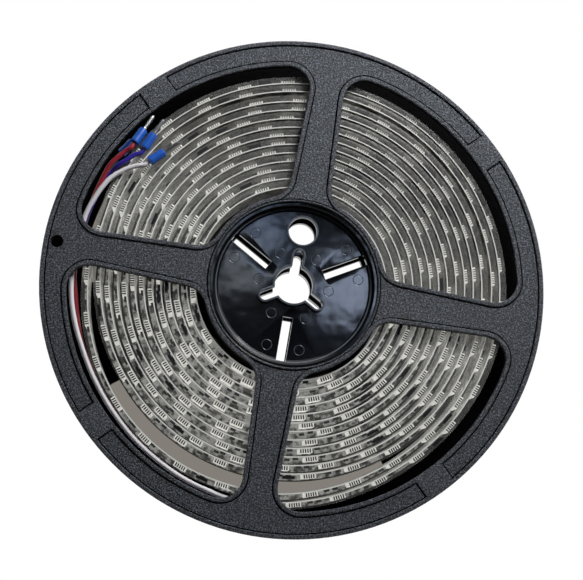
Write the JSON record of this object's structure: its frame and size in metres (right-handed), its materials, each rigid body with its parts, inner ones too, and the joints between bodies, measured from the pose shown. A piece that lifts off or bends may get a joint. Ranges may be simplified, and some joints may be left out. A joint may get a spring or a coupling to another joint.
{
  "type": "led strip light reel",
  "caption": "Round plastic reel with windowed flanges and a keyed hub, wound with a clear-coated LED strip that ends in lead wires with ferrules.",
  "frame": {"origin": "centre of the reel on the surface it lies on, level with the back flange's outer lip", "axes": "+Z along the reel's axis, out of the front flange; +X to the right and +Y up in the picture"},
  "size_m": [0.19, 0.19, 0.0185],
  "materials": {
    "reel_plastic": "spark-eroded matt flanges, polished hub floors",
    "strip_gel": "clear soft coating over a white circuit ribbon",
    "cap_silicone": "cast translucent white",
    "lead_white": "extruded insulation",
    "lead_red": "extruded insulation",
    "lead_blue": "extruded insulation",
    "lead_green": "extruded insulation",
    "collar_nylon": "moulded, semi-gloss",
    "pin_tinned": "tinned and crimped"
  },
  "bodies": {
    "root": {"front_half": "reel_plastic", "back_half": "reel_plastic", "led_strip": "strip_gel", "solder_cap": "cap_silicone", "lead_white": "lead_white", "collar_white": "collar_nylon", "pin_white": "pin_tinned", "lead_red": "lead_red", "collar_red": "collar_nylon", "pin_red": "pin_tinned", "lead_blue": "lead_blue", "collar_blue": "collar_nylon", "pin_blue": "pin_tinned", "lead_green": "lead_green", "collar_green": "collar_nylon", "pin_green": "pin_tinned"}
  },
  "joints": []
}
